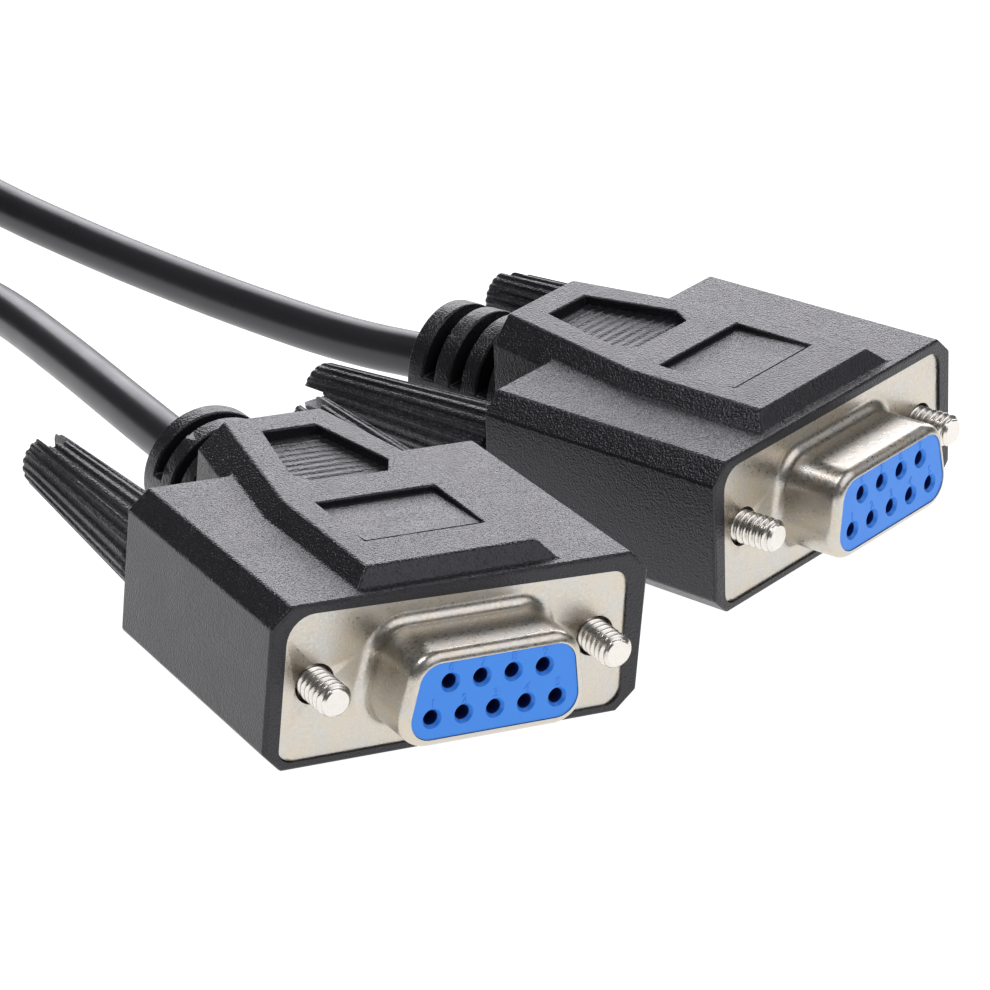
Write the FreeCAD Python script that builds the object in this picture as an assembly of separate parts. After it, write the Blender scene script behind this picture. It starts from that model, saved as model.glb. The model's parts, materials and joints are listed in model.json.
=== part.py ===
# Serial crossover lead: two moulded nine-way socket plugs on one round cable.
# Plug A points along -Y and lies flat.  Plug B stands beside it, turned and leaning
# as the stiff cable holds it.  The row origin is the centre of plug A's screw pair,
# on the front face of its metal flange.  Lengths are millimetres, angles degrees.
import FreeCAD, Part
import math
import os

Vector = FreeCAD.Vector

# Connector front, the standard nine-way size
SCREW_SPACING = 24.99
FLANGE_MARGIN = 2.905
FLANGE_W = SCREW_SPACING + 2 * FLANGE_MARGIN
FLANGE_H = 12.55
FLANGE_CORNER = 1.5
FLANGE_HOLE_R = 1.7
SHELL_W = 16.33
SHELL_H = 7.9
SHELL_CORNER = 2.6
SHELL_LEAN = 10.0
SHELL_REACH = 6.15
SHEET_T = 0.5
ROOT_R = 1.0
LIP_R = 0.9
LIP_TURN_IN = 0.26
CONTACT_PITCH = 2.77
CONTACT_ROW_GAP = 2.84
WIDE_ROW = 5
NARROW_ROW = 4

# Small running and seating clearances
SEAT_GAP = 0.03
TURN_GAP = 0.08
POCKET_GAP = 0.15
THREAD_CLEAR = 0.3

# Insulator, contacts and what lies behind them
FACE_SINK = 0.1
GUIDE_R = 0.64
COUNTERSINK_R = 0.84
COUNTERSINK_DEPTH = 0.3
CONTACT_R = 0.72
CONTACT_BORE_R = 0.5
CONTACT_START = 2.0
CONTACT_BORE_DEPTH = 5.6
TUB_W = 19.2
TUB_H = 10.6
TUB_CORNER = 1.2
TUB_DEPTH = 5.6
TAIL_W = 15.6
TAIL_H = 6.8
TAIL_REACH = 2.8
CUP_REACH = 2.6
CUP_DEPTH = 2.0
PREMOULD_STEP = 0.65
PREMOULD_W = TUB_W - 2 * PREMOULD_STEP
PREMOULD_H = TUB_H - 2 * PREMOULD_STEP
PREMOULD_LENGTH = 14.4
PREMOULD_CORNER = 1.0
CORE_D = 0.9
CORE_RING_R = 1.0
CORE_SEAT_ANGLES = [210, None, 270, 330, 150, 90, 30]

# Hood
RIM_STEP = 0.2
RIM_W = 1.35
RIM_H = 0.625
HOOD_W_FRONT = FLANGE_W + 2 * RIM_W
WING_T_FRONT = FLANGE_H + 2 * RIM_H
WING_DRAFT_W = 0.25
WING_DRAFT_T = 0.1
WING_LENGTH = 24.3
WING_CHAMFER_W = 1.7
WING_CHAMFER_H = 1.65
HOOD_T = 16.5
PLATEAU_HALF_W = 7.55
PLATEAU_FRONT_TOP = 1.9
PLATEAU_FRONT_BELOW = 3.0
PLATEAU_KINK = 15.5
NECK_END = 31.5
NECK_HALF_W = 4.4
SLOPE_DROP = 2.1
SLOPE_RUN = 2.25
LABEL_W = 10.6
LABEL_FRONT = 6.25
LABEL_BACK = 14.1
LABEL_DEPTH_FRONT = 0.2
LABEL_DEPTH_BACK = 0.75
THUMB_DEPTH = 1.05
THUMB_RIB_H = 0.12
THUMB_RIBS = 11
THUMB_OUTLINE = [(2.4, 28.5), (4.4, 20.0), (3.3, 18.05)]

# Strain relief
RELIEF_END = 42.5
RELIEF_R_NECK = 5.95
RELIEF_R_END = 5.65
RELIEF_CORE_R = 3.3
RELIEF_SLOTS = 3
RELIEF_RING_T = 1.85
RELIEF_SLOT_T = 1.25
RELIEF_SPINE_T = 1.8

# Thumbscrews
THREAD_R = 1.4224
TIP_REACH = 3.6
TIP_CHAMFER = 0.42
NECK_R = 1.1
GRIP_GAP = 1.2
GRIP_LENGTH = 21.3
GRIP_R_FRONT = 3.6
GRIP_R_BACK = 2.45
GRIP_RIBS = 20
GRIP_RIB_H = 0.3
GRIP_RIB_TOP = 0.34
GRIP_RIB_ROOT = 0.3
GRIP_SLOT_W = 1.7
GRIP_SLOT_DEPTH = 2.6
NECK_SHORT = 1.4
GRIP_SLOT_ANGLE = {"a_left": 82.0, "a_right": 75.0, "b_left": 8.0, "b_right": 40.0}

# Cable and its route over the table
CABLE_D = 4.2
CABLE_SINK = 0.8
JACKET_GAP = 0.05
LEAD_A_POINTS = [(0.0, 54.0, -0.85), (1.3, 71.0, -1.8), (3.6, 91.0, -4.1), (1.9, 102.9, -5.3),
                 (-4.4, 113.1, -6.0), (-14.4, 119.8, -6.15), (-25.7, 123.9, -6.15)]
LEAD_B_POINTS = [(28.6, 68.0, -2.7), (24.9, 82.5, -3.9), (21.5, 99.5, -5.1), (17.9, 116.5, -5.4),
                 (19.6, 131.0, 0.3), (19.4, 143.0, 6.2), (17.5, 154.4, 6.45)]
COIL_X = -10.3
COIL_Y = 148.5
COIL_R_IN = 14.8
COIL_R_OUT = 30.5
COIL_LAYERS = 4
COIL_CHAMFER = 0.3
ARC_SHARE = 0.45

# Plug B's attitude: turned about Z, leaning about its own length, nose up
PLUG_B_X = 46.6
PLUG_B_Y = 17.5
PLUG_B_TURN = 20.2
PLUG_B_LEAN = -6.5
PLUG_B_NOSE = -2.95

# Places along the plug, worked out from the sizes above
TABLE_Z = -HOOD_T / 2
FLANGE_BACK = 2 * SHEET_T
TUB_BACK = FLANGE_BACK + TUB_DEPTH
TAIL_BACK = TUB_BACK + TAIL_REACH
CUP_BACK = TAIL_BACK + CUP_REACH
PREMOULD_BACK = TUB_BACK + PREMOULD_LENGTH
GRIP_FRONT = WING_LENGTH + GRIP_GAP
GRIP_BACK = GRIP_FRONT + GRIP_LENGTH
NECK_BACK = GRIP_BACK - GRIP_SLOT_DEPTH - NECK_SHORT
INSERT_FRONT = FACE_SINK - SHELL_REACH
CONTACT_FRONT = INSERT_FRONT + CONTACT_START
INSULATOR_JOIN = SHEET_T + SEAT_GAP
SHELL_SIDES = [-SCREW_SPACING / 2, SCREW_SPACING / 2]
TURN_AXIS = Vector(0, 1, 0)


def outline(y, half_bottom, half_top, half_height, radius):
    """Wire round four equal circles: a D with a wide bottom, or a soft rectangle."""
    lean = math.atan2(half_bottom - half_top, 2 * half_height)
    stations = [(half_bottom, -half_height, -math.pi / 2, lean),
                (half_top, half_height, lean, math.pi / 2),
                (-half_top, half_height, math.pi / 2, math.pi - lean),
                (-half_bottom, -half_height, math.pi - lean, 1.5 * math.pi)]
    arcs = []
    for x, z, start, end in stations:
        angles = [start, (start + end) / 2, end]
        arcs.append([Vector(x + radius * math.cos(a), y, z + radius * math.sin(a)) for a in angles])
    edges = []
    for index, arc in enumerate(arcs):
        edges.append(Part.Arc(*arc).toShape())
        edges.append(Part.makeLine(arc[2], arcs[(index + 1) % 4][0]))
    return Part.Wire(edges)


def prism(wire, length):
    """Solid made by moving a closed flat wire backwards along the plug."""
    return Part.Face(wire).extrude(Vector(0, length, 0))


def d_prism(front, back, inset):
    """Prism of the connector's D, drawn in from the shell's outside by inset."""
    half_height = SHELL_H / 2 - SHELL_CORNER
    half_bottom = SHELL_W / 2 - SHELL_CORNER
    half_top = half_bottom - 2 * half_height * math.tan(math.radians(SHELL_LEAN))
    wire = outline(front, half_bottom, half_top, half_height, SHELL_CORNER - inset)
    return prism(wire, back - front)


def soft_block(front, back, width, height, corner):
    """Block with rounded long edges, centred on the plug's axis."""
    wire = outline(front, width / 2 - corner, width / 2 - corner, height / 2 - corner, corner)
    return prism(wire, back - front)


def rod(x, z, front, back, radius):
    """Round bar along the plug."""
    return Part.makeCylinder(radius, back - front, Vector(x, front, z), TURN_AXIS)


def polygon(points):
    """Closed wire through a list of vectors."""
    return Part.makePolygon(points + [points[0]])


def mirrored(points):
    """Outline in the XY plane from its right half, run front to back."""
    return points + [(-x, y) for x, y in reversed(points)]


def contact_places():
    """Centres of the contacts: the wide row below, the narrow row above."""
    places = []
    for count, z in ((WIDE_ROW, -CONTACT_ROW_GAP / 2), (NARROW_ROW, CONTACT_ROW_GAP / 2)):
        places += [((i - (count - 1) / 2) * CONTACT_PITCH, z) for i in range(count)]
    return places


def flange_plate(front, back, grow):
    """Flange outline as a plate, or as the pocket that it sits in."""
    return soft_block(front, back, FLANGE_W + 2 * grow, FLANGE_H + 2 * grow, FLANGE_CORNER + grow)


def flange_holes(front, back):
    """The two clearance holes that the thumbscrews pass through."""
    return [rod(x, 0, front, back, FLANGE_HOLE_R) for x in SHELL_SIDES]


def edges_at(solid, y, half_x, half_z):
    """Edges that lie in one cross plane and inside a rectangle about the axis."""
    found = []
    for edge in solid.Edges:
        box = edge.BoundBox
        flat = abs(box.YMin - y) < 1e-4 and abs(box.YMax - y) < 1e-4
        if flat and box.XMax < half_x and -box.XMin < half_x and box.ZMax < half_z and -box.ZMin < half_z:
            found.append(edge)
    return found


def front_shell():
    """Drawn steel front: flange, D-shaped nose with a soft root and a turned-in lip."""
    nose = d_prism(-SHELL_REACH, SHEET_T, 0)
    body = nose.fuse(flange_plate(0, SHEET_T, 0)).removeSplitter()
    half_x = SHELL_W / 2 + ROOT_R / 2
    half_z = SHELL_H / 2 + ROOT_R / 2
    body = body.makeFillet(ROOT_R, edges_at(body, 0, half_x, half_z))
    body = body.makeFillet(LIP_R, edges_at(body, -SHELL_REACH, half_x, half_z))
    hollow = d_prism(SHEET_T - SHELL_REACH, SHEET_T, SHEET_T)
    mouth = d_prism(-SHELL_REACH, SHEET_T, SHEET_T + LIP_TURN_IN)
    return body.cut([hollow, mouth] + flange_holes(0, SHEET_T))


def rear_shell():
    """Steel pan behind the flange that clamps the insulator."""
    plate = flange_plate(SHEET_T, FLANGE_BACK, 0)
    tub = soft_block(FLANGE_BACK, TUB_BACK, TUB_W, TUB_H, TUB_CORNER)
    inside = soft_block(SHEET_T, TUB_BACK - SHEET_T, TUB_W - 2 * SHEET_T, TUB_H - 2 * SHEET_T,
                        TUB_CORNER - SHEET_T)
    exit_hole = soft_block(SHEET_T, TUB_BACK, TAIL_W + 2 * SEAT_GAP, TAIL_H + 2 * SEAT_GAP, TUB_CORNER)
    return plate.fuse(tub).cut([inside, exit_hole] + flange_holes(SHEET_T, FLANGE_BACK))


def front_insulator():
    """Blue D-shaped half that fills the nose, with a countersunk hole for each contact."""
    mouth_inset = SHEET_T + LIP_TURN_IN + SEAT_GAP
    nose_front = SHEET_T - SHELL_REACH + SEAT_GAP
    face = d_prism(INSERT_FRONT, nose_front, mouth_inset)
    nose = d_prism(nose_front, INSULATOR_JOIN, SHEET_T + SEAT_GAP)
    cuts = []
    for x, z in contact_places():
        cuts.append(rod(x, z, INSERT_FRONT, CONTACT_FRONT, GUIDE_R))
        cuts.append(rod(x, z, CONTACT_FRONT, INSULATOR_JOIN, CONTACT_R + SEAT_GAP))
        cuts.append(Part.makeCone(COUNTERSINK_R, GUIDE_R, COUNTERSINK_DEPTH,
                                  Vector(x, INSERT_FRONT, z), TURN_AXIS))
    return face.fuse(nose).cut(cuts)


def rear_insulator():
    """Block that the pan clamps, with the tail that the solder cups stand behind."""
    block_gap = 2 * (SHEET_T + SEAT_GAP)
    block_back = TUB_BACK - SHEET_T - SEAT_GAP
    block = soft_block(INSULATOR_JOIN, block_back, TUB_W - block_gap, TUB_H - block_gap, TUB_CORNER - SHEET_T)
    tail = soft_block(block_back, TAIL_BACK, TAIL_W, TAIL_H, TUB_CORNER)
    holes = [rod(x, z, INSULATOR_JOIN, TAIL_BACK, CONTACT_R + SEAT_GAP) for x, z in contact_places()]
    return block.fuse(tail).cut(holes)


def socket_contact(x, z):
    """One socket contact: bored in front, an open solder cup behind."""
    body = rod(x, z, CONTACT_FRONT, CUP_BACK, CONTACT_R)
    bore = rod(x, z, CONTACT_FRONT, CONTACT_FRONT + CONTACT_BORE_DEPTH, CONTACT_BORE_R)
    cup = rod(x, z, CUP_BACK - CUP_DEPTH, CUP_BACK, CONTACT_BORE_R)
    return body.cut([bore, cup])


def contacts():
    """All nine contacts as separate solids of one node."""
    return Part.makeCompound([socket_contact(x, z) for x, z in contact_places()])


def core_seat(angle):
    """Seat of one core in the cable's lay; the middle one has no angle."""
    reach = 0 if angle is None else CORE_RING_R
    turn = math.radians(angle or 0)
    return reach * math.cos(turn), reach * math.sin(turn) - CABLE_SINK


def cores():
    """Insulated cores of contacts 2 to 8, from their cups to the end of the jacket."""
    solids = []
    for (x0, z0), angle in zip(contact_places()[1:-1], CORE_SEAT_ANGLES):
        x1, z1 = core_seat(angle)
        rings = []
        for x, y, z in ((x0, CUP_BACK, z0), (x1, PREMOULD_BACK, z1)):
            circle = Part.makeCircle(CORE_D / 2, Vector(x, y, z), TURN_AXIS)
            rings.append(Part.Wire(circle))
        solids.append(Part.makeLoft(rings, True, True))
    return Part.makeCompound(solids)


def inner_premould():
    """Block moulded over the cups and cores before the hood goes on."""
    block = soft_block(TUB_BACK, PREMOULD_BACK, PREMOULD_W, PREMOULD_H, PREMOULD_CORNER)
    tail = soft_block(TUB_BACK, TAIL_BACK, TAIL_W + 2 * SEAT_GAP, TAIL_H + 2 * SEAT_GAP, TUB_CORNER)
    cups = [rod(x, z, TAIL_BACK, CUP_BACK, CONTACT_R) for x, z in contact_places()]
    return block.cut([tail] + cups + cores().Solids)


def wing_section(y, w, h):
    """Cross section of the wings, by half width and half height, with four cut corners."""
    in_w = w - WING_CHAMFER_W
    in_h = h - WING_CHAMFER_H
    corners = [(w, -in_h), (w, in_h), (in_w, h), (-in_w, h), (-w, in_h), (-w, -in_h), (-in_w, -h), (in_w, -h)]
    return polygon([Vector(x, y, z) for x, z in corners])


def wings():
    """Low body of the hood on both sides, drawn in a little towards the back."""
    w = HOOD_W_FRONT / 2
    h = WING_T_FRONT / 2
    sections = [wing_section(-RIM_STEP, w, h), wing_section(WING_LENGTH, w - WING_DRAFT_W, h - WING_DRAFT_T)]
    return Part.makeLoft(sections, True, True)


def spine_outline(z, spread, front):
    """Outline of the raised middle at one height, from its right half."""
    half = [(PLATEAU_HALF_W + spread, front), (PLATEAU_HALF_W + spread, PLATEAU_KINK),
            (NECK_HALF_W + spread, NECK_END)]
    return [Vector(x, y, z) for x, y in mirrored(half)]


def spine():
    """Raised middle and neck: a straight wall with sloped shoulders above and below."""
    wall_z = HOOD_T / 2 - SLOPE_DROP
    foot = spine_outline(-wall_z, SLOPE_RUN, 0)
    wall = Part.Face(polygon(foot)).extrude(Vector(0, 0, 2 * wall_z))
    parts = []
    for side, front in ((-1, PLATEAU_FRONT_BELOW), (1, PLATEAU_FRONT_TOP)):
        low = polygon(spine_outline(side * wall_z, SLOPE_RUN, 0))
        high = polygon(spine_outline(side * HOOD_T / 2, 0, front))
        parts.append(Part.makeLoft([low, high], True, True))
    return wall.fuse(parts)


def relief_radius(y):
    """Radius of the strain relief's taper at one place."""
    share = (y - NECK_END) / (RELIEF_END - NECK_END)
    return RELIEF_R_NECK + share * (RELIEF_R_END - RELIEF_R_NECK)


def strain_relief():
    """Tapered sleeve round the cable, slotted into rings that two side webs hold."""
    sleeve = Part.makeCone(relief_radius(NECK_END), relief_radius(RELIEF_END), RELIEF_END - NECK_END,
                           Vector(0, NECK_END, -CABLE_SINK), TURN_AXIS)
    cuts = []
    web = Part.makeBox(4 * RELIEF_R_NECK, RELIEF_END, RELIEF_SPINE_T,
                       Vector(-2 * RELIEF_R_NECK, 0, -CABLE_SINK - RELIEF_SPINE_T / 2))
    for index in range(RELIEF_SLOTS):
        back = RELIEF_END - RELIEF_RING_T - index * (RELIEF_RING_T + RELIEF_SLOT_T)
        front = back - RELIEF_SLOT_T
        core = rod(0, -CABLE_SINK, front, back, RELIEF_CORE_R)
        groove = rod(0, -CABLE_SINK, front, back, 2 * RELIEF_R_NECK).cut(core)
        cuts.append(groove.cut(web))
    return sleeve.cut(cuts)


def label_recess():
    """Sloping recess for a label, deep at the back and almost flush in front."""
    top = HOOD_T / 2
    profile = [Vector(-LABEL_W / 2, LABEL_FRONT, top + 1), Vector(-LABEL_W / 2, LABEL_BACK, top + 1),
               Vector(-LABEL_W / 2, LABEL_BACK, top - LABEL_DEPTH_BACK),
               Vector(-LABEL_W / 2, LABEL_FRONT, top - LABEL_DEPTH_FRONT)]
    return Part.Face(polygon(profile)).extrude(Vector(LABEL_W, 0, 0))


def thumb_recess():
    """Six-sided recess with a row of cross ribs standing on its floor."""
    top = HOOD_T / 2
    floor = top - THUMB_DEPTH
    points = [Vector(x, y, floor) for x, y in mirrored(THUMB_OUTLINE)]
    pocket = Part.Face(polygon(points)).extrude(Vector(0, 0, THUMB_DEPTH + 1))
    back = THUMB_OUTLINE[0][1]
    front = THUMB_OUTLINE[-1][1]
    pitch = (back - front) / THUMB_RIBS
    reach = 2 * PLATEAU_HALF_W
    ribs = []
    for index in range(THUMB_RIBS):
        start = front + index * pitch
        ridge = [Vector(-reach, start, floor), Vector(-reach, start + pitch / 2, floor + THUMB_RIB_H),
                 Vector(-reach, start + pitch, floor)]
        ribs.append(Part.Face(polygon(ridge)).extrude(Vector(2 * reach, 0, 0)))
    return pocket.cut(ribs)


def both_faces(cutter):
    """The same cutter on the top and, mirrored, on the underside."""
    return [cutter, cutter.mirror(Vector(0, 0, 0), Vector(0, 0, 1))]


def hood_cavities():
    """Room in the hood for the connector, the premould, the cable and the screws."""
    cable_bore = rod(0, -CABLE_SINK, PREMOULD_BACK, RELIEF_END, CABLE_D / 2 + JACKET_GAP)
    cavities = [flange_plate(-RIM_STEP, FLANGE_BACK, POCKET_GAP),
                soft_block(0, TUB_BACK, TUB_W, TUB_H, TUB_CORNER),
                soft_block(0, PREMOULD_BACK, PREMOULD_W, PREMOULD_H, PREMOULD_CORNER), cable_bore]
    return cavities + [rod(x, 0, FLANGE_BACK, WING_LENGTH, NECK_R + TURN_GAP) for x in SHELL_SIDES]


def hood():
    """Moulded hood with its slotted strain relief."""
    body = wings().fuse([spine(), strain_relief()]).removeSplitter()
    recesses = both_faces(label_recess()) + both_faces(thumb_recess())
    return body.cut(recesses + hood_cavities())


def jackscrew(x):
    """Captive steel screw: threaded tip in front of the flange, then the thin neck."""
    tip = -TIP_REACH
    chamfer = Part.makeCone(THREAD_R - TIP_CHAMFER, THREAD_R, TIP_CHAMFER, Vector(x, tip, 0), TURN_AXIS)
    thread = rod(x, 0, tip + TIP_CHAMFER, -THREAD_CLEAR, THREAD_R)
    neck = rod(x, 0, -THREAD_CLEAR, NECK_BACK, NECK_R)
    return chamfer.fuse([thread, neck]).removeSplitter()


def rib_section(y, radius, x):
    """Toothed outline of the grip at one place."""
    points = []
    pitch = 2 * math.pi / GRIP_RIBS
    for index in range(GRIP_RIBS):
        middle = index * pitch
        top = GRIP_RIB_TOP * pitch / 2
        root = pitch / 2 - GRIP_RIB_ROOT * pitch / 2
        for angle, r in ((middle - root, radius - GRIP_RIB_H), (middle - top, radius),
                         (middle + top, radius), (middle + root, radius - GRIP_RIB_H)):
            points.append(Vector(x + r * math.cos(angle), y, r * math.sin(angle)))
    return polygon(points)


def grip(x, slot_angle):
    """Ribbed, tapered thumb grip with a driver slot across its free end."""
    body = Part.makeLoft([rib_section(GRIP_FRONT, GRIP_R_FRONT, x),
                          rib_section(GRIP_BACK, GRIP_R_BACK, x)], True, True)
    hole = rod(x, 0, GRIP_FRONT, NECK_BACK, NECK_R + SEAT_GAP)
    slot = Part.makeBox(4 * GRIP_R_BACK, GRIP_SLOT_DEPTH, GRIP_SLOT_W,
                        Vector(x - 2 * GRIP_R_BACK, GRIP_BACK - GRIP_SLOT_DEPTH, -GRIP_SLOT_W / 2))
    slot.rotate(Vector(x, 0, 0), TURN_AXIS, slot_angle)
    return body.cut([hole, slot])


def plug_pieces(name):
    """Every piece of one plug in the plug's own frame, by node name."""
    pieces = {"hood": hood(), "front_shell": front_shell(), "rear_shell": rear_shell(),
              "front_insulator": front_insulator(), "rear_insulator": rear_insulator(),
              "contacts": contacts(), "cores": cores(), "inner_premould": inner_premould()}
    for side, x in zip(("left", "right"), SHELL_SIDES):
        pieces["jackscrew_" + side] = jackscrew(x)
        pieces["grip_" + side] = grip(x, GRIP_SLOT_ANGLE[name + "_" + side])
    return pieces


def plug_b_placement(hood_shape):
    """Turn, lean and nose of plug B, let down until its hood meets the table."""
    turned = FreeCAD.Rotation(PLUG_B_TURN, PLUG_B_LEAN, PLUG_B_NOSE)
    lowest = min(turned.multVec(vertex.Point).z for vertex in hood_shape.Vertexes)
    return FreeCAD.Placement(Vector(PLUG_B_X, PLUG_B_Y, TABLE_Z - lowest), turned)


def route_path(points):
    """Straight runs joined by tangent arcs as large as the runs beside them allow."""
    edges = []
    start = points[0]
    for before, corner, after in zip(points, points[1:], points[2:]):
        back = (before - corner).normalize()
        ahead = (after - corner).normalize()
        half_turn = (math.pi - back.getAngle(ahead)) / 2
        reach = ARC_SHARE * min(corner.distanceToPoint(before), corner.distanceToPoint(after))
        radius = reach / math.tan(half_turn)
        print("bend at", [round(c, 1) for c in corner], "radius", round(radius, 1))
        entry = corner + back * reach
        leave = corner + ahead * reach
        sagitta = radius / math.cos(half_turn) - radius
        middle = corner + (back + ahead).normalize() * sagitta
        edges.append(Part.LineSegment(start, entry).toShape())
        edges.append(Part.Arc(entry, middle, leave).toShape())
        start = leave
    edges.append(Part.LineSegment(start, points[-1]).toShape())
    return Part.Wire(edges)


def cable_lead(placement, points):
    """Cable from the premould out of the relief and along its route to the coil."""
    stub = rod(0, -CABLE_SINK, PREMOULD_BACK, RELIEF_END, CABLE_D / 2)
    stub.Placement = placement
    leave = placement.multVec(Vector(0, RELIEF_END, -CABLE_SINK))
    path = route_path([leave] + [Vector(*point) for point in points])
    ring = Part.makeCircle(CABLE_D / 2, leave, path.Edges[0].tangentAt(0))
    tube = path.makePipeShell([Part.Wire(ring)], True, False)
    expected = math.pi * (CABLE_D / 2) ** 2 * path.Length
    print("lead length", round(path.Length, 1), "volume ratio", round(tube.Volume / expected, 4))
    return stub.fuse(tube)


def cable_coil():
    """Outer shape of the neat coil that holds the rest of the cable."""
    height = COIL_LAYERS * CABLE_D
    floor = Vector(COIL_X, COIL_Y, TABLE_Z)
    ring = Part.makeCylinder(COIL_R_OUT, height, floor).cut(Part.makeCylinder(COIL_R_IN, height, floor))
    rims = [edge for edge in ring.Edges if edge.BoundBox.ZLength < 1e-4]
    return ring.makeChamfer(COIL_CHAMFER * CABLE_D, rims)


def build_nodes():
    """All nodes of the lead, in the row frame."""
    nodes = {}
    flat = FreeCAD.Placement()
    plug_a = plug_pieces("a")
    tilted = plug_b_placement(plug_a["hood"])
    for name, shape in plug_a.items():
        nodes["plug_a_" + name] = shape
    for name, shape in plug_pieces("b").items():
        shape.Placement = tilted
        nodes["plug_b_" + name] = shape
    nodes["cable_lead_a"] = cable_lead(flat, LEAD_A_POINTS)
    nodes["cable_lead_b"] = cable_lead(tilted, LEAD_B_POINTS)
    nodes["cable_coil"] = cable_coil()
    print("plug B placement", tilted)
    return nodes


def export(nodes):
    """One STEP file per node."""
    os.makedirs("parts", exist_ok=True)
    for name, shape in nodes.items():
        shape.exportStep("parts/" + name + ".step")
        print(name, "solids", len(shape.Solids), "valid", shape.isValid(), "volume", round(shape.Volume, 2))


export(build_nodes())
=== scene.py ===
"""Looks of the serial crossover lead: two socket plugs on one round cable."""
import json
import math

import bmesh
import bpy
from mathutils import Euler, Matrix, Vector


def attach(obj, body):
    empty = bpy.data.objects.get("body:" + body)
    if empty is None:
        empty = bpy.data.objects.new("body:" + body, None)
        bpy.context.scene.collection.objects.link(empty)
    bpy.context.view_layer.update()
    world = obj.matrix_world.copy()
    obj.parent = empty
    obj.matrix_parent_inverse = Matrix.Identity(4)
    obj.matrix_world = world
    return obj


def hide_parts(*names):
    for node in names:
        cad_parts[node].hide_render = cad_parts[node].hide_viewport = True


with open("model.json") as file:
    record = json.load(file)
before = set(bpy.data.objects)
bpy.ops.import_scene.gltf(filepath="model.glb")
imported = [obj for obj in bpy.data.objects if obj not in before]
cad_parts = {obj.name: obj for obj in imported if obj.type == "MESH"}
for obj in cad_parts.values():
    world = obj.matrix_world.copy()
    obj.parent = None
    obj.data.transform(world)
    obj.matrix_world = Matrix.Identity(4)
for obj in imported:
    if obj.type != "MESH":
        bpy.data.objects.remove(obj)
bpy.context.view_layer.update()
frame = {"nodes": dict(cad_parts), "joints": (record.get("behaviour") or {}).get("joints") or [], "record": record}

MM = 0.001
TAU = 2 * math.pi

# Camera that took the photograph, 990 by 990 pixels
PHOTO_SIDE = 990
FOCAL_PIXELS = 5000.3
SENSOR_MM = 36.0
CAMERA_PLACE = Vector((-185.798, -297.581, 160.417)) * MM
CAMERA_TURN = [67.2663, -4.5276, -30.3846]

SIDES = ("left", "right")
LEVELS = {"top": 1, "underside": -1}

# The screws, in millimetres of each plug's own frame, as all sizes of the plugs are
HOOD_T = 16.5
TABLE_Z = -HOOD_T / 2
THREAD_R = 1.4224
THREAD_PITCH = 0.635
THREAD_DEPTH = 0.36
THREAD_BACK = 0.9
THREAD_ROOT = 0.1
THREAD_FLANK = 0.72
THREAD_STEPS = 10
SCREW_AROUND = 48
TIP_REACH = 3.6
TIP_CHAMFER = 0.42
NECK_R = 1.1
NECK_BACK = 42.8
NECK_STEP = 0.1

# The grips, with the solids' sizes; shares are of half a rib's pitch
GRIP_FRONT = 25.5
GRIP_BACK = 46.8
GRIP_R_FRONT = 3.6
GRIP_R_BACK = 2.45
GRIP_RIBS = 20
GRIP_RIB_H = 0.3
GRIP_CREST = 0.3
GRIP_ROOT = 0.75
GRIP_RIB_STEPS = 12
GRIP_LENGTH_STEPS = 12
GRIP_END_STEPS = 6
GRIP_END_ROUND = 0.35
GRIP_TIP_ROUND = 0.6
GRIP_TIP_DEPTH = 0.35
GRIP_TIP_FADE = 5.0
GRIP_SLOT_W = 1.7
GRIP_SLOT_DEPTH = 2.6
GRIP_SHARP = 55.0
# Plug B's right screw is turned four ribs on from its solid, as the photograph has it
GRIP_SLOT_ANGLE = {"a_left": 82.0, "a_right": 75.0, "b_left": 8.0, "b_right": 112.0}

# The hood: its relief's mouth, rounded edges, thumb recess, label recess and rim
RELIEF_END = 42.5
CABLE_SINK = 0.8
HOOD_ROUND = 0.2
SHELL_ROUND = 0.06
WELD_GAP = 0.002
FLAT_ANGLE = 0.3
SPLIT_FROM = 14
THUMB_OUTLINE = [(18.05, 3.3), (20.0, 4.4), (28.5, 2.4)]
THUMB_SINK = 0.86
THUMB_RIBS = 11
THUMB_RIB_H = 0.09
THUMB_RIB_STEPS = 10
THUMB_ACROSS = 8
THUMB_GAP = 0.01
THUMB_SKIRT = 0.1
THUMB_SHARP = 50.0
LABEL_W = 10.6
LABEL_FRONT = 6.25
LABEL_BACK = 14.1
LABEL_SINK_FRONT = 0.19
LABEL_SINK_BACK = 0.48
LABEL_TUCK = 0.1
LABEL_T = 0.4
RIM_FRONT = -0.215
RIM_BACK = -0.01
RIM_CORNERS = {"a": [(15.35, -6.27, 1.4), (14.95, 5.42, 1.5), (-15.3, 6.1, 2.3), (-15.35, -6.27, 1.2)],
               "b": [(15.35, -6.27, 1.4), (15.2, 5.9, 1.5), (-15.3, 6.1, 2.0), (-15.35, -6.27, 1.2)]}
RIM_OUTSIDE = (16.45, 6.6)
RIM_CUT = 1.6
RIM_OUTER_CORNER = 0.3

# The blue face: contact places, numbers and guide bores
CONTACT_PITCH = 2.77
CONTACT_ROW_GAP = 2.84
FACE_FRONT = -6.05
NUMBER_RISE = 1.24
NUMBER_SIZE = 1.05
NUMBER_T = 0.035
NUMBER_WEIGHT = 0.015
BORE_R = 0.6
BORE_FRONT = -5.72
BORE_BACK = -4.1
BORE_WALL = 0.035
BORE_AROUND = 24

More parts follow.
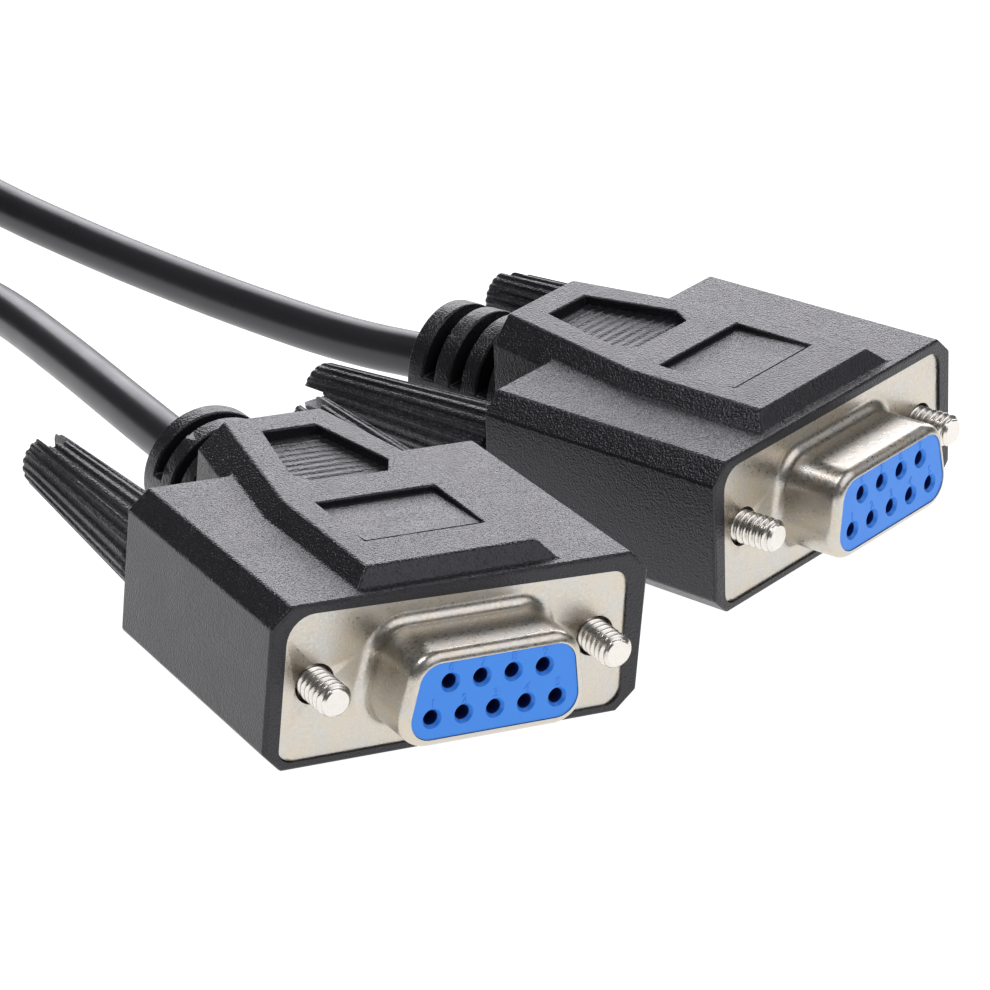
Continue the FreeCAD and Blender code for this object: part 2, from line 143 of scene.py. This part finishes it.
# The cable, in millimetres of the row frame: the same route as the solids
CABLE_D = 4.2
INSIDE_RELIEF = 10.0
LEAD_A_POINTS = [(0.0, 54.0, -0.85), (1.3, 71.0, -1.8), (3.6, 91.0, -4.1), (1.9, 102.9, -5.3),
                 (-4.4, 113.1, -6.0), (-14.4, 119.8, -6.15), (-25.7, 123.9, -6.15)]
LEAD_B_POINTS = [(28.6, 68.0, -2.7), (24.9, 82.5, -3.9), (21.5, 99.5, -5.1), (19.2, 110.5, -5.5),
                 (18.0, 117.0, -5.7), (16.3, 127.0, -5.8), (20.8, 137.5, 0.6), (19.8, 146.5, 6.3),
                 (17.5, 154.4, 6.45)]
COIL_CENTRE = (-10.3, 148.5)
COIL_R_IN = 14.8
COIL_R_OUT = 30.5
COIL_LAYERS = 4
COIL_START = -142.0
COIL_SWEEP = 4148.0
COIL_CLIMB_TURNS = 0.25
COIL_POINTS_PER_TURN = 20

# Floor, lights and tint; a light is turned from +Y towards +X and raised, both in degrees
FLOOR_HALF_M = 6.0
LIGHTS = [  # name, turn, rise, distance, width and height in metres, radiance
    ("back_light", 35.0, 22.0, 1.2, 1.25, 0.66, 3.7),
    ("front_light", 150.0, 52.0, 1.2, 1.4, 1.0, 1.4),
    ("glint_light", -60.0, 60.0, 1.2, 0.3, 0.3, 11.0),
]
LIGHT_TINT = (0.98, 0.967, 1.0)
VINYL_TINT = (0.945, 0.925, 1.0, 1.0)
SET_MIDDLE = (22.0, 25.0, 0.0)
WORLD_STRENGTH = 0.1


def screw_joints(letter):
    """Rows of one plug's left and right screw joints."""
    joints = {joint["name"]: joint for joint in frame["joints"]}
    return [joints[f"screw_{letter}_{side}_turn"] for side in SIDES]


def plug_matrix(letter):
    """Plug frame to row frame in metres, worked out from the plug's two screw joints."""
    left, right = screw_joints(letter)
    start, end = Vector(left["pos_m"]), Vector(right["pos_m"])
    x = (end - start).normalized()
    y = -Vector(left["axis"]).normalized()
    z = x.cross(y)
    turn = Matrix((x, y, z)).transposed().to_4x4()
    return Matrix.Translation((start + end) / 2) @ turn


def screw_x(letter, side):
    """Distance of one screw's axis from the plug's middle, in millimetres."""
    left, right = (Vector(joint["pos_m"]) for joint in screw_joints(letter))
    half = (right - left).length / 2 / MM
    return -half if side == "left" else half


PLUGS = {letter: plug_matrix(letter) for letter in "ab"}


def new_material(name, color, roughness, metallic=0.0):
    """Principled material and its node tree."""
    material = bpy.data.materials.new(name)
    material.use_nodes = True
    tree = material.node_tree
    bsdf = tree.nodes["Principled BSDF"]
    for socket, value in (("Base Color", (*color, 1)), ("Roughness", roughness), ("Metallic", metallic)):
        bsdf.inputs[socket].default_value = value
    return material, tree, bsdf


def place_output(tree):
    """Position on the object itself, so that texture moves with the piece."""
    return tree.nodes.new("ShaderNodeTexCoord").outputs["Object"]


def noise(tree, size_mm, detail=2.0, roughness=0.5):
    """Noise whose features are about size_mm across."""
    node = tree.nodes.new("ShaderNodeTexNoise")
    node.inputs["Scale"].default_value = 1 / (size_mm * MM)
    node.inputs["Detail"].default_value = detail
    node.inputs["Roughness"].default_value = roughness
    tree.links.new(place_output(tree), node.inputs["Vector"])
    return node.outputs["Fac"]


def between(tree, value, low, high, start=0.3, end=0.7):
    """Maps a pattern to the range from low to high."""
    node = tree.nodes.new("ShaderNodeMapRange")
    for name, number in (("From Min", start), ("From Max", end), ("To Min", low), ("To Max", high)):
        node.inputs[name].default_value = number
    tree.links.new(value, node.inputs["Value"])
    return node.outputs["Result"]


def add(tree, first, second, share):
    """first plus share times second."""
    node = tree.nodes.new("ShaderNodeMath")
    node.operation = "MULTIPLY_ADD"
    tree.links.new(second, node.inputs[0])
    node.inputs[1].default_value = share
    tree.links.new(first, node.inputs[2])
    return node.outputs[0]


def vary_roughness(tree, bsdf, pattern, low, high):
    """Lets the roughness follow a pattern."""
    tree.links.new(between(tree, pattern, low, high), bsdf.inputs["Roughness"])


def blend_colors(tree, share, first, second):
    """Colour that goes from first to second by a pattern."""
    node = tree.nodes.new("ShaderNodeMix")
    node.data_type = "RGBA"
    tree.links.new(share, node.inputs["Factor"])
    node.inputs["A"].default_value = (*first, 1)
    node.inputs["B"].default_value = (*second, 1)
    return next(socket for socket in node.outputs if socket.type == "RGBA")


def bump(tree, bsdf, height, depth_mm):
    """Bumps the surface by a pattern, depth_mm deep."""
    node = tree.nodes.new("ShaderNodeBump")
    node.inputs["Distance"].default_value = depth_mm * MM
    node.inputs["Strength"].default_value = 1.0
    tree.links.new(height, node.inputs["Height"])
    tree.links.new(node.outputs["Normal"], bsdf.inputs["Normal"])


def hood_material():
    """Black vinyl with a fine pebble grain and a soft sheen."""
    material, tree, bsdf = new_material("hood_vinyl", (0.014, 0.0135, 0.0155), 0.5)
    bsdf.inputs["Specular Tint"].default_value = VINYL_TINT
    grain = add(tree, noise(tree, 0.18, 1), noise(tree, 0.5, 2), 0.25)
    bump(tree, bsdf, grain, 0.07)
    vary_roughness(tree, bsdf, noise(tree, 3.0, 4), 0.27, 0.33)
    return material


def nickel_material():
    """Satin nickel plate: fine blasted grain, and patches of a warmer tone."""
    material, tree, bsdf = new_material("nickel_shell", (0.58, 0.54, 0.47), 0.4, 1.0)
    patches = blend_colors(tree, between(tree, noise(tree, 2.2, 3), 0, 1, 0.35, 0.65),
                           (0.6, 0.545, 0.46), (0.565, 0.55, 0.515))
    tree.links.new(patches, bsdf.inputs["Base Color"])
    vary_roughness(tree, bsdf, noise(tree, 0.3, 4, 0.65), 0.22, 0.42)
    bump(tree, bsdf, add(tree, noise(tree, 0.16, 1), noise(tree, 1.1, 3), 0.5), 0.009)
    return material


def blue_material(name, color):
    """Blue moulded insulator in its own blue, or in dark navy as painted shade inside the guide bores."""
    material, tree, bsdf = new_material(name, color, 0.35)
    bump(tree, bsdf, noise(tree, 0.5, 3), 0.004)
    vary_roughness(tree, bsdf, noise(tree, 1.2, 3), 0.3, 0.42)
    return material


def brass_material():
    """Gilt socket contacts."""
    material, tree, bsdf = new_material("gilt_contacts", (0.5, 0.36, 0.14), 0.35, 1.0)
    vary_roughness(tree, bsdf, noise(tree, 0.4, 3), 0.3, 0.5)
    return material


def steel_material():
    """Nickel-plated screw."""
    material, tree, bsdf = new_material("screw_steel", (0.74, 0.71, 0.66), 0.25, 1.0)
    vary_roughness(tree, bsdf, noise(tree, 0.5, 4), 0.18, 0.34)
    return material


def grip_material():
    """Black grip plastic, satin, with a fine grain."""
    material, tree, bsdf = new_material("grip_plastic", (0.021, 0.0205, 0.0225), 0.36)
    bsdf.inputs["Specular Tint"].default_value = VINYL_TINT
    bump(tree, bsdf, noise(tree, 0.2, 1), 0.15)
    vary_roughness(tree, bsdf, noise(tree, 1.0, 3), 0.3, 0.4)
    return material


def cable_material():
    """Smooth black jacket with a satin sheen."""
    material, tree, bsdf = new_material("cable_jacket", (0.023, 0.0222, 0.0245), 0.4)
    bsdf.inputs["Specular Tint"].default_value = VINYL_TINT
    bump(tree, bsdf, noise(tree, 0.8, 3), 0.004)
    vary_roughness(tree, bsdf, noise(tree, 4.0, 3), 0.27, 0.34)
    return material


def pale_plastic(name, color):
    """Dull moulded plastic for the pieces inside the hood."""
    material, tree, bsdf = new_material(name, color, 0.6)
    vary_roughness(tree, bsdf, noise(tree, 0.8, 3), 0.5, 0.7)
    return material


MATERIALS = {
    "hood_vinyl": hood_material(),
    "nickel_shell": nickel_material(),
    "blue_insulator": blue_material("blue_insulator", (0.034, 0.27, 0.92)),
    # dark navy: painted shade for the walls of the guide bores
    "painted_bore_shade": blue_material("painted_bore_shade", (0.006, 0.02, 0.13)),
    "gilt_contacts": brass_material(),
    "screw_steel": steel_material(),
    "grip_plastic": grip_material(),
    "cable_jacket": cable_material(),
    "core_insulation": pale_plastic("core_insulation", (0.4, 0.4, 0.4)),
    "premould": pale_plastic("premould", (0.6, 0.58, 0.5)),
}


def dress_nodes():
    """Gives every CAD node the material of its slot."""
    slots = {row["node"]: row["material_slot"] for row in frame["record"]["subparts"]}
    for name, node in frame["nodes"].items():
        node.data.materials.clear()
        node.data.materials.append(MATERIALS[slots[name]])


def soften(name, width_mm, segments=3, angle=25.0, flatten=True):
    """Rounds the hard edges of one CAD node as it shows.

    flatten joins the flat faces' triangles first, so that the rounding has its full width,
    and cuts large faces up again, so that none folds over its own hole.
    """
    node = frame["nodes"][name]
    weld = node.modifiers.new("weld", "WELD")
    weld.merge_threshold = WELD_GAP * MM
    if flatten:
        merge = node.modifiers.new("merge", "DECIMATE")
        merge.decimate_type = "DISSOLVE"
        merge.angle_limit = math.radians(FLAT_ANGLE)
        split = node.modifiers.new("split", "TRIANGULATE")
        split.min_vertices = SPLIT_FROM
    bevel = node.modifiers.new("bevel", "BEVEL")
    bevel.width = width_mm * MM
    bevel.segments = segments
    bevel.limit_method = "ANGLE"
    bevel.angle_limit = math.radians(angle)
    bevel.use_clamp_overlap = not flatten
    bevel.harden_normals = False
    smooth = node.modifiers.new("smooth", "WEIGHTED_NORMAL")
    smooth.keep_sharp = False


def new_piece(name, mesh, body, slot, material=None):
    """Links a mesh as a piece that rides on a body."""
    piece = bpy.data.objects.new(name, mesh)
    bpy.context.scene.collection.objects.link(piece)
    piece.data.materials.append(MATERIALS[material or slot])
    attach(piece, body)
    return piece


def ring(mesh, x, y, z, around, radius_at):
    """Ring of mesh points round an axis along Y; its radius is a function of y and turn."""
    points = []
    for k in range(around):
        turn = TAU * k / around
        radius = radius_at(y, turn)
        points.append(mesh.verts.new((x + radius * math.cos(turn), y, z + radius * math.sin(turn))))
    return points


def bridge(mesh, near, far):
    """Faces between two closed rings of as many points."""
    for k in range(len(near)):
        j = (k + 1) % len(near)
        mesh.faces.new((near[k], far[k], far[j], near[j]))


def plug_data(mesh, letter, name):
    """Mesh data in the row frame from a mesh in the plug's own frame, which it frees."""
    bmesh.ops.recalc_face_normals(mesh, faces=mesh.faces)
    mesh.transform(PLUGS[letter] @ Matrix.Scale(MM, 4))
    data = bpy.data.meshes.new(name)
    mesh.to_mesh(data)
    mesh.free()
    return data


def plug_piece(mesh, letter, name, slot, material=None):
    """Still piece of one plug from a mesh in the plug's own frame."""
    return new_piece(name, plug_data(mesh, letter, name), "root", slot, material)


def thread_radius(y, turn):
    """Radius of the screw at one place along it and round it."""
    if y > THREAD_BACK:
        return NECK_R
    ridge = abs((y / THREAD_PITCH - turn / TAU) % 1.0 - 0.5) * 2
    rise = min(1.0, max(0.0, (ridge - THREAD_ROOT) / THREAD_FLANK))
    radius = THREAD_R - THREAD_DEPTH * (1 - rise)
    return min(radius, THREAD_R - TIP_CHAMFER + (y + TIP_REACH))


def screw_stations():
    """Places along the screw, close together over its thread."""
    steps = round((THREAD_BACK + TIP_REACH) / THREAD_PITCH * THREAD_STEPS)
    thread = [-TIP_REACH + i * (THREAD_BACK + TIP_REACH) / steps for i in range(steps + 1)]
    return thread + [THREAD_BACK + NECK_STEP, NECK_BACK]


def jackscrew(letter, side):
    """Steel screw with its cut thread, thin neck and flat tip."""
    x = screw_x(letter, side)
    mesh = bmesh.new()
    stations = screw_stations()
    rings = [ring(mesh, x, y, 0, SCREW_AROUND, thread_radius) for y in stations]
    for near, far in zip(rings, rings[1:]):
        bridge(mesh, near, far)
    for y in (stations[0], stations[-1]):
        mesh.faces.new(ring(mesh, x, y, 0, SCREW_AROUND, thread_radius))
    data = plug_data(mesh, letter, f"screw_{letter}_{side}")
    data.shade_smooth()
    piece = new_piece(f"screw_{letter}_{side}", data, f"thumbscrew_{letter}_{side}", "screw_steel")
    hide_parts(f"plug_{letter}_jackscrew_{side}")
    return piece


def grip_radius(y, turn):
    """Radius of the ribbed grip at one place, with soft crests and rounded ends."""
    share = (y - GRIP_FRONT) / (GRIP_BACK - GRIP_FRONT)
    radius = GRIP_R_FRONT + share * (GRIP_R_BACK - GRIP_R_FRONT)
    wave = abs((turn / TAU * GRIP_RIBS) % 1.0 - 0.5) * 2
    fall = min(1.0, max(0.0, (wave - GRIP_CREST) / (GRIP_ROOT - GRIP_CREST)))
    shallow = min(1.0, GRIP_TIP_DEPTH + (GRIP_BACK - y) / GRIP_TIP_FADE)
    radius -= shallow * GRIP_RIB_H * fall * fall * (3 - 2 * fall)
    near = max(0.0, 1 - (y - GRIP_FRONT) / GRIP_END_ROUND)
    far = max(0.0, 1 - (GRIP_BACK - y) / GRIP_TIP_ROUND)
    radius -= GRIP_END_ROUND * (1 - math.sqrt(1 - near * near))
    return radius - GRIP_TIP_ROUND * (1 - math.sqrt(1 - far * far))


def grip_stations():
    """Places along the grip, close together at its rounded ends."""
    ends = [1 - math.cos(math.pi / 2 * i / GRIP_END_STEPS) for i in range(GRIP_END_STEPS + 1)]
    middle = [GRIP_FRONT + (GRIP_BACK - GRIP_FRONT) * i / GRIP_LENGTH_STEPS
              for i in range(1, GRIP_LENGTH_STEPS)]
    return ([GRIP_FRONT + GRIP_END_ROUND * e for e in ends] + middle
            + [GRIP_BACK - GRIP_TIP_ROUND * e for e in reversed(ends)])


def slot_cutter(letter, side):
    """Block that cuts the driver slot across the grip's free end."""
    mesh = bmesh.new()
    bmesh.ops.create_cube(mesh, size=1.0)
    sizes = Matrix.Diagonal((4 * GRIP_R_BACK, 2 * GRIP_SLOT_DEPTH, GRIP_SLOT_W, 1))
    turn = Matrix.Rotation(math.radians(GRIP_SLOT_ANGLE[f"{letter}_{side}"]), 4, "Y")
    mesh.transform(Matrix.Translation((screw_x(letter, side), GRIP_BACK, 0)) @ turn @ sizes)
    cutter = bpy.data.objects.new("slot_cutter", plug_data(mesh, letter, "slot_cutter"))
    bpy.context.scene.collection.objects.link(cutter)
    return cutter


def grip(letter, side):
    """Ribbed thumb grip with soft ribs, rounded ends and a driver slot."""
    around = GRIP_RIBS * GRIP_RIB_STEPS
    x = screw_x(letter, side)
    mesh = bmesh.new()
    rings = [ring(mesh, x, y, 0, around, grip_radius) for y in grip_stations()]
    for near, far in zip(rings, rings[1:]):
        bridge(mesh, near, far)
    for edge, y in ((rings[0], GRIP_FRONT), (rings[-1], GRIP_BACK)):
        hub = mesh.verts.new((x, y, 0))
        for k in range(around):
            mesh.faces.new((edge[k], edge[(k + 1) % around], hub))
    whole = plug_data(mesh, letter, f"grip_{letter}_{side}")
    piece = new_piece(f"grip_{letter}_{side}", whole, f"thumbscrew_{letter}_{side}", "grip_plastic")
    cutter = slot_cutter(letter, side)
    cut = piece.modifiers.new("slot", "BOOLEAN")
    cut.object = cutter
    cut.solver = "EXACT"
    bpy.context.view_layer.update()
    shown = piece.evaluated_get(bpy.context.evaluated_depsgraph_get())
    slotted = bpy.data.meshes.new_from_object(shown)
    piece.modifiers.clear()
    piece.data = slotted
    slotted.shade_smooth()
    slotted.set_sharp_from_angle(angle=math.radians(GRIP_SHARP))
    bpy.data.objects.remove(cutter)
    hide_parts(f"plug_{letter}_grip_{side}")
    return piece


def thumb_half_width(y):
    """Half width of the thumb recess at one place along the plug."""
    for (y0, w0), (y1, w1) in zip(THUMB_OUTLINE, THUMB_OUTLINE[1:]):
        if y <= y1:
            return w0 + (w1 - w0) * (y - y0) / (y1 - y0)
    return THUMB_OUTLINE[-1][1]


def thumb_pad(letter, level):
    """Softly ribbed floor of the thumb recess on one level."""
    front, back = THUMB_OUTLINE[0][0], THUMB_OUTLINE[-1][0]
    count = THUMB_RIBS * THUMB_RIB_STEPS
    across = THUMB_ACROSS
    side = LEVELS[level]
    mesh = bmesh.new()
    rows = []
    for i in range(count + 1):
        y = front + (back - front) * i / count
        rise = THUMB_RIB_H * (1 - math.cos(TAU * i / THUMB_RIB_STEPS)) / 2
        z = side * (HOOD_T / 2 - THUMB_SINK + rise)
        w = thumb_half_width(y) - THUMB_GAP
        rows.append([mesh.verts.new((w * (2 * k / across - 1), y, z)) for k in range(across + 1)])
    for near, far in zip(rows, rows[1:]):
        for k in range(across):
            mesh.faces.new((near[k], near[k + 1], far[k + 1], far[k]))
    walls = [edge for edge in mesh.edges if edge.is_boundary]
    skirt = bmesh.ops.extrude_edge_only(mesh, edges=walls)["geom"]
    for vert in (item for item in skirt if isinstance(item, bmesh.types.BMVert)):
        vert.co.z = side * (HOOD_T / 2 - THUMB_SINK - THUMB_SKIRT)
    mesh.faces.new(ordered_rim(mesh))
    piece = plug_piece(mesh, letter, f"thumb_pad_{letter}_{level}", "hood_vinyl")
    piece.data.shade_smooth()
    piece.data.set_sharp_from_angle(angle=math.radians(THUMB_SHARP))
    return piece


def label_floor(letter, level):
    """Even floor of the label recess on one level."""
    side = LEVELS[level]
    half = LABEL_W / 2 + LABEL_TUCK
    front, back = LABEL_FRONT - LABEL_TUCK, LABEL_BACK + LABEL_TUCK
    mesh = bmesh.new()
    tops = []
    lows = []
    for x, y, sink in ((-half, front, LABEL_SINK_FRONT), (half, front, LABEL_SINK_FRONT),
                       (half, back, LABEL_SINK_BACK), (-half, back, LABEL_SINK_BACK)):
        tops.append(mesh.verts.new((x, y, side * (HOOD_T / 2 - sink))))
        lows.append(mesh.verts.new((x, y, side * (HOOD_T / 2 - sink - LABEL_T))))
    mesh.faces.new(tops)
    mesh.faces.new(lows)
    bridge(mesh, tops, lows)
    return plug_piece(mesh, letter, f"label_floor_{letter}_{level}", "hood_vinyl")


def rounded(corners, y, steps=8):
    """Points round an outline in a cross plane; a corner is (x, z, radius)."""
    points = []
    for k, (x, z, radius) in enumerate(corners):
        here = Vector((x, z))
        before, after = (Vector(corners[j % len(corners)][:2]) - here for j in (k - 1, k + 1))
        before.normalize()
        after.normalize()
        half_turn = before.angle(after) / 2
        middle = here + (before + after).normalized() * radius / math.sin(half_turn)
        start = here + before * radius / math.tan(half_turn) - middle
        end = here + after * radius / math.tan(half_turn) - middle
        sweep = math.atan2(start.x * end.y - start.y * end.x, start.dot(end))
        for i in range(steps + 1):
            turn = Matrix.Rotation(sweep * i / steps, 2)
            spot = middle + turn @ start
            points.append((spot.x, y, spot.y))
    return points


def rim_lip(letter):
    """Thin lip of the hood that laps over the edge of the metal flange."""
    w, h = RIM_OUTSIDE
    inner_w, inner_h = w - RIM_CUT, h - RIM_CUT
    outside = [(x, z, RIM_OUTER_CORNER) for x, z in (
        (inner_w, -h), (w, -inner_h), (w, inner_h), (inner_w, h),
        (-inner_w, h), (-w, inner_h), (-w, -inner_h), (-inner_w, -h))]
    inside = RIM_CORNERS[letter]
    mesh = bmesh.new()
    loops = []
    for y, corners, steps in ((RIM_FRONT, outside, 3), (RIM_FRONT, inside, 7),
                              (RIM_BACK, inside, 7), (RIM_BACK, outside, 3)):
        loops.append([mesh.verts.new(spot) for spot in rounded(corners, y, steps)])
    for near, far in zip(loops, loops[1:] + loops[:1]):
        bridge(mesh, near, far)
    return plug_piece(mesh, letter, f"rim_lip_{letter}", "hood_vinyl")


def contact_numbers(letter):
    """Raised contact numbers 1 to 9 on the blue face, each above its hole."""
    mesh = bmesh.new()
    upright = Matrix.Rotation(math.pi / 2, 4, "X")
    for index, (x, z) in enumerate(contact_places()):
        text = bpy.data.curves.new("number", "FONT")
        text.body = str(index + 1)
        text.size = NUMBER_SIZE
        text.align_x = "CENTER"
        text.align_y = "CENTER"
        text.extrude = NUMBER_T
        text.offset = NUMBER_WEIGHT
        text.resolution_u = 3
        holder = bpy.data.objects.new("holder", text)
        shape = bpy.data.meshes.new_from_object(holder)
        shape.transform(Matrix.Translation((x, FACE_FRONT, z + NUMBER_RISE)) @ upright)
        mesh.from_mesh(shape)
        bpy.data.objects.remove(holder)
        bpy.data.meshes.remove(shape)
        bpy.data.curves.remove(text)
    return plug_piece(mesh, letter, f"contact_numbers_{letter}", "blue_insulator")


def contact_places():
    """Centres of the contacts: the wide row below, the narrow row above."""
    for count, z in ((5, -CONTACT_ROW_GAP / 2), (4, CONTACT_ROW_GAP / 2)):
        for i in range(count):
            yield (i - (count - 1) / 2) * CONTACT_PITCH, z


def guide_bores(letter):
    """Walls of the nine guide bores in the blue face, in dark navy as painted shade of the deep holes."""
    outer_r = BORE_R + BORE_WALL
    mesh = bmesh.new()
    for x, z in contact_places():
        rings = [ring(mesh, x, y, z, BORE_AROUND, lambda _, __, radius=radius: radius)
                 for y, radius in ((BORE_FRONT, outer_r), (BORE_FRONT, BORE_R),
                                   (BORE_BACK, BORE_R), (BORE_BACK, outer_r))]
        for near, far in zip(rings, rings[1:] + rings[:1]):
            bridge(mesh, near, far)
    return plug_piece(mesh, letter, f"guide_bores_{letter}", "blue_insulator", "painted_bore_shade")


def ordered_rim(mesh):
    """The open rim's points, one after the other."""
    links = {}
    for edge in mesh.edges:
        if edge.is_boundary:
            for here, there in (edge.verts, reversed(edge.verts)):
                links.setdefault(here, []).append(there)
    start = next(iter(links))
    path = [start, links[start][0]]
    while True:
        ahead = [vert for vert in links[path[-1]] if vert is not path[-2]][0]
        if ahead is start:
            return path
        path.append(ahead)


def coil_points():
    """Centre line of the coil: layer on layer, inward and outward by turns."""
    climbs = COIL_LAYERS - 1
    layer_turns = (COIL_SWEEP / 360 - climbs * COIL_CLIMB_TURNS) / COIL_LAYERS
    r_out = COIL_R_OUT - CABLE_D / 2
    r_in = COIL_R_IN + CABLE_D / 2
    low = TABLE_Z + CABLE_D / 2
    count = round(COIL_SWEEP / 360 * COIL_POINTS_PER_TURN)
    spread = 1 / math.cos(math.pi / COIL_POINTS_PER_TURN)
    points = []
    for i in range(count + 1):
        turns = COIL_SWEEP / 360 * i / count
        angle = math.radians(COIL_START) - TAU * turns
        layer = min(COIL_LAYERS - 1, int(turns / (layer_turns + COIL_CLIMB_TURNS)))
        inside = turns - layer * (layer_turns + COIL_CLIMB_TURNS)
        share = min(1.0, inside / layer_turns)
        climbed = max(0.0, inside - layer_turns) / COIL_CLIMB_TURNS
        start, end = (r_out, r_in) if layer % 2 == 0 else (r_in, r_out)
        radius = spread * (start + (end - start) * share)
        points.append((COIL_CENTRE[0] + radius * math.cos(angle),
                       COIL_CENTRE[1] + radius * math.sin(angle),
                       low + CABLE_D * (layer + min(1.0, climbed))))
    return points


def cable():
    """The whole cable on one smooth spline, from plug A through the coil to plug B."""
    inside = Vector((0, RELIEF_END - INSIDE_RELIEF, -CABLE_SINK)) * MM
    mouth = Vector((0, RELIEF_END, -CABLE_SINK)) * MM
    route = [PLUGS["a"] @ inside, PLUGS["a"] @ mouth]
    route += [Vector(p) * MM for p in LEAD_A_POINTS + coil_points() + LEAD_B_POINTS[::-1]]
    route += [PLUGS["b"] @ mouth, PLUGS["b"] @ inside]
    data = bpy.data.curves.new("cable", "CURVE")
    data.dimensions = "3D"
    data.bevel_depth = CABLE_D / 2 * MM
    data.bevel_resolution = 8
    data.resolution_u = 6
    data.use_fill_caps = True
    spline = data.splines.new("NURBS")
    spline.points.add(len(route) - 1)
    for point, place in zip(spline.points, route):
        point.co = (*place, 1)
    spline.order_u = 3
    spline.use_endpoint_u = True
    piece = new_piece("cable", data, "root", "cable_jacket")
    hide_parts("cable_lead_a", "cable_lead_b", "cable_coil")
    return piece


def floor():
    """Plain white light table."""
    mesh = bpy.data.meshes.new("floor")
    half = FLOOR_HALF_M
    z = TABLE_Z * MM
    corners = [(-half, -half, z), (half, -half, z), (half, half, z), (-half, half, z)]
    mesh.from_pydata(corners, [], [(0, 1, 2, 3)])
    piece = bpy.data.objects.new("floor", mesh)
    bpy.context.scene.collection.objects.link(piece)
    material, tree, bsdf = new_material("floor", (0.4, 0.4, 0.4), 0.8)
    bsdf.inputs["Emission Color"].default_value = (1, 1, 1, 1)
    bsdf.inputs["Emission Strength"].default_value = 1.0
    bsdf.inputs["Specular IOR Level"].default_value = 0.1
    vary_roughness(tree, bsdf, noise(tree, 40.0, 2), 0.78, 0.84)
    piece.data.materials.append(material)


def camera():
    """The photograph's camera."""
    data = bpy.data.cameras.new("camera")
    data.sensor_width = SENSOR_MM
    data.lens = FOCAL_PIXELS / PHOTO_SIDE * SENSOR_MM
    data.clip_start = 0.01
    data.clip_end = 20
    piece = bpy.data.objects.new("camera", data)
    bpy.context.scene.collection.objects.link(piece)
    piece.location = CAMERA_PLACE
    piece.rotation_euler = Euler([math.radians(a) for a in CAMERA_TURN])
    bpy.context.scene.camera = piece


def soft_light(name, turn, rise, distance, width, height, radiance):
    """Soft box that faces the object from one direction."""
    a, e = math.radians(turn), math.radians(rise)
    away = Vector((math.sin(a) * math.cos(e), math.cos(a) * math.cos(e), math.sin(e)))
    data = bpy.data.lights.new(name, "AREA")
    data.shape = "RECTANGLE"
    data.size = width
    data.size_y = height
    data.energy = radiance * math.pi * width * height
    data.color = LIGHT_TINT
    piece = bpy.data.objects.new(name, data)
    bpy.context.scene.collection.objects.link(piece)
    piece.location = Vector(SET_MIDDLE) * MM + distance * away
    piece.rotation_euler = away.to_track_quat("Z", "Y").to_euler()
    piece.visible_camera = False


def studio():
    """Dim room, a broad low soft box behind, a weaker one in front and a small one for glints."""
    world = bpy.data.worlds.new("studio")
    bpy.context.scene.world = world
    world.use_nodes = True
    background = world.node_tree.nodes["Background"]
    background.inputs["Color"].default_value = (1, 1, 1, 1)
    background.inputs["Strength"].default_value = WORLD_STRENGTH
    for light in LIGHTS:
        soft_light(*light)
    bpy.context.scene.view_settings.view_transform = "Standard"


dress_nodes()
for plug_letter in PLUGS:
    soften(f"plug_{plug_letter}_hood", HOOD_ROUND)
    soften(f"plug_{plug_letter}_front_shell", SHELL_ROUND, segments=2, angle=40, flatten=False)
    for screw_side in SIDES:
        jackscrew(plug_letter, screw_side)
        grip(plug_letter, screw_side)
    for hood_level in LEVELS:
        thumb_pad(plug_letter, hood_level)
        label_floor(plug_letter, hood_level)
    rim_lip(plug_letter)
    guide_bores(plug_letter)
    contact_numbers(plug_letter)
cable()
floor()
camera()
studio()
